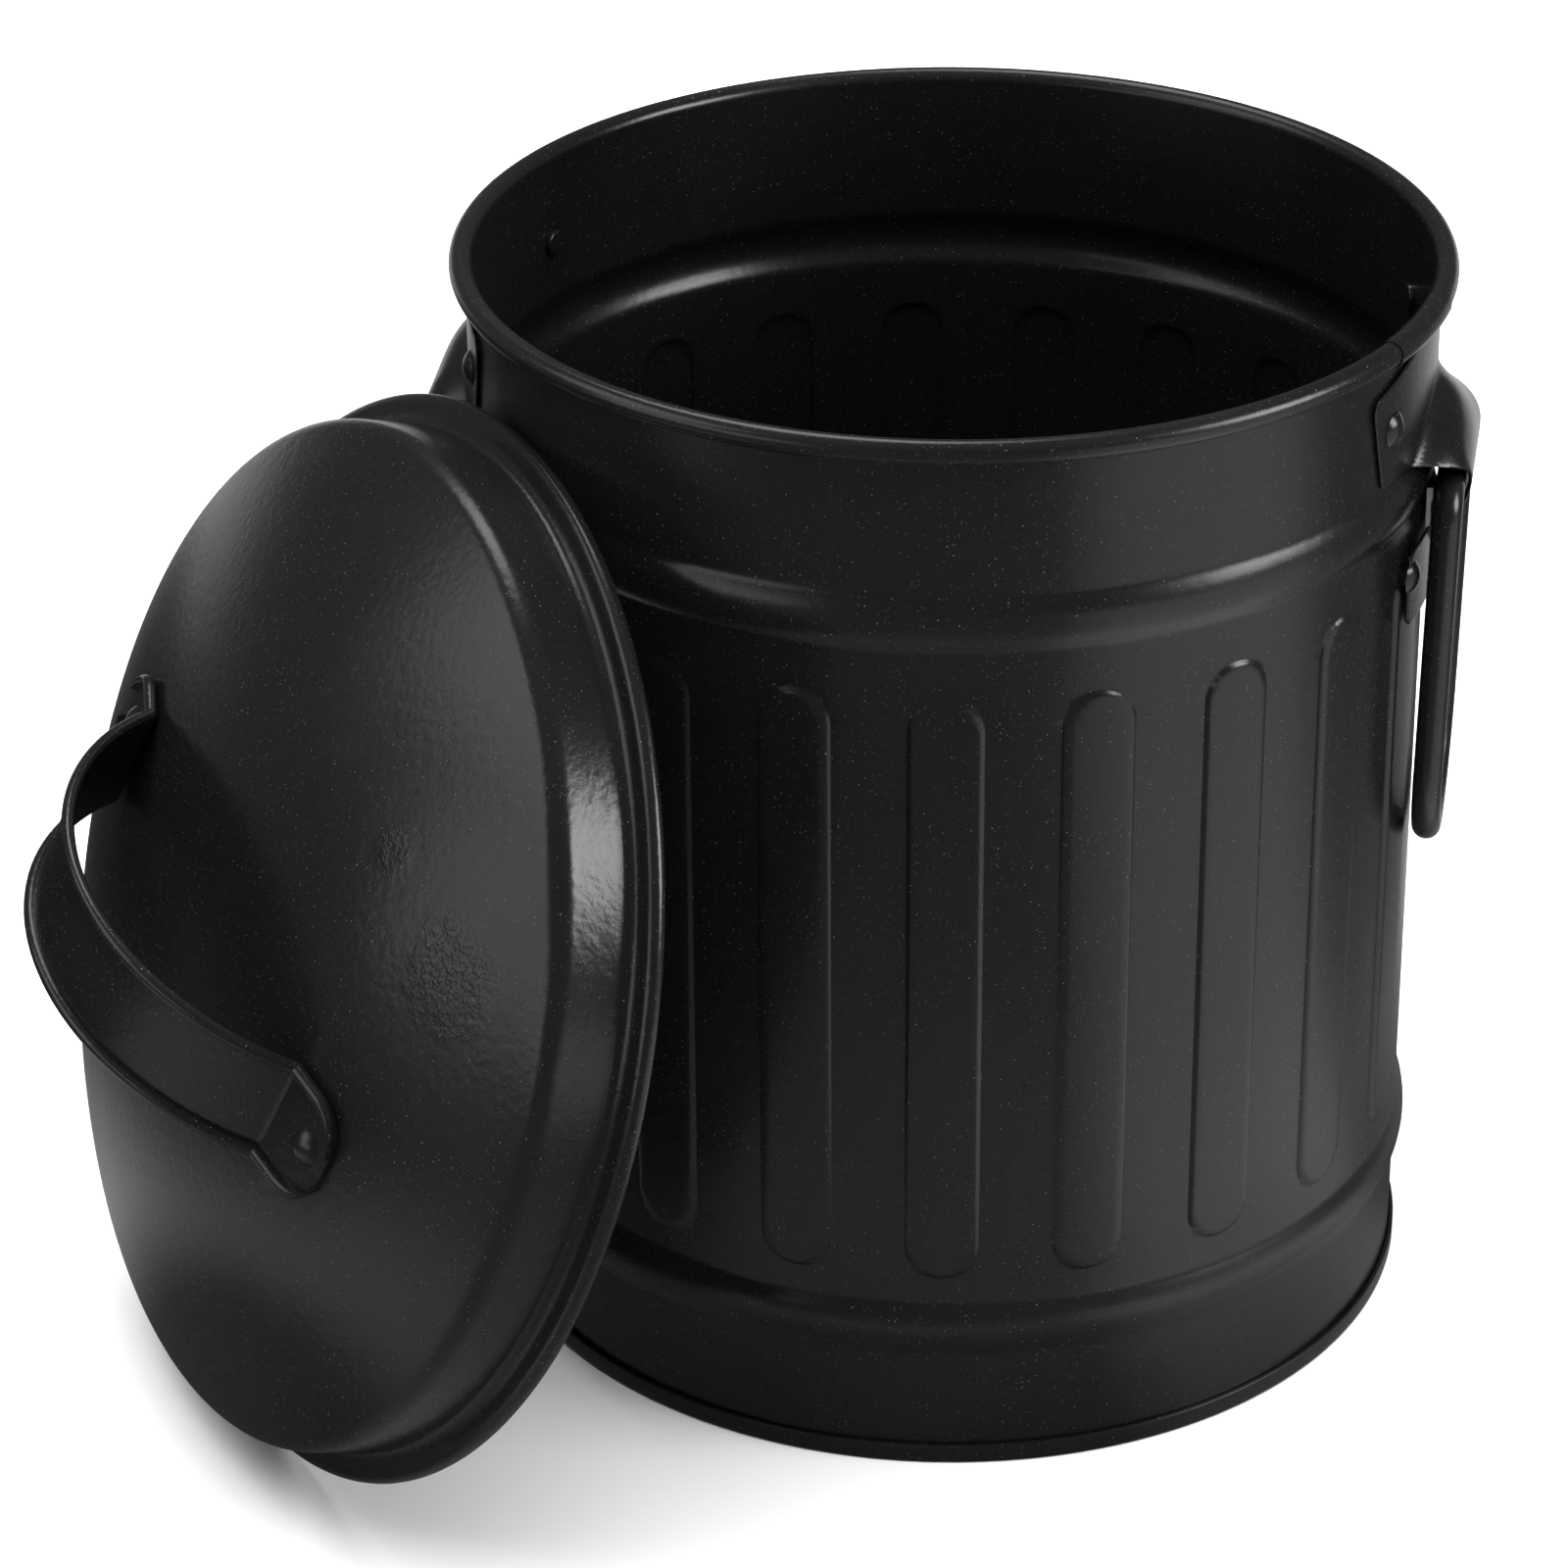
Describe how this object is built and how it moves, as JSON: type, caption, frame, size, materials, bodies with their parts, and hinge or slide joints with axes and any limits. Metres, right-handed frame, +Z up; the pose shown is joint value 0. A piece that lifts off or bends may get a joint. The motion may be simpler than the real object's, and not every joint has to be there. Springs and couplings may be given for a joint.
{
  "type": "trash can",
  "caption": "Small round steel trash can with ribbed wall, rolled rim, ring handles in riveted brackets and a loose domed lid with a strap handle, shown leaning.",
  "frame": {"origin": "on the floor at the centre of the can's foot", "axes": "+Z up along the can's axis, +X to the handle on the right of the picture"},
  "size_m": [0.2298, 0.2178, 0.1807],
  "materials": {
    "can_paint": "satin",
    "handle_paint": "satin",
    "lid_paint": "satin"
  },
  "bodies": {
    "can": {"can_wall": "can_paint", "base_pan": "can_paint", "right_bracket": "handle_paint", "left_bracket": "handle_paint", "right_bracket_rivets": "handle_paint", "left_bracket_rivets": "handle_paint"},
    "right_ring": {"right_ring": "handle_paint"},
    "left_ring": {"left_ring": "handle_paint"},
    "lid": {"lid_shell": "lid_paint", "lid_strap": "lid_paint", "lid_strap_rivets": "lid_paint"}
  },
  "joints": [
    {"name": "right_ring_swing", "type": "hinge", "parent": "can", "child": "right_ring", "pos_m": [0.08098, 0, 0.149], "axis": [0, -1, 0], "range_deg": [0, 120]},
    {"name": "left_ring_swing", "type": "hinge", "parent": "can", "child": "left_ring", "pos_m": [-0.08098, 0, 0.149], "axis": [0, 1, 0], "range_deg": [0, 40]},
    {"name": "lid_lift", "type": "slide", "parent": "can", "child": "lid", "axis": [-0.7458, -0.5932, 0.3032], "range_m": [0, 0.15]}
  ]
}
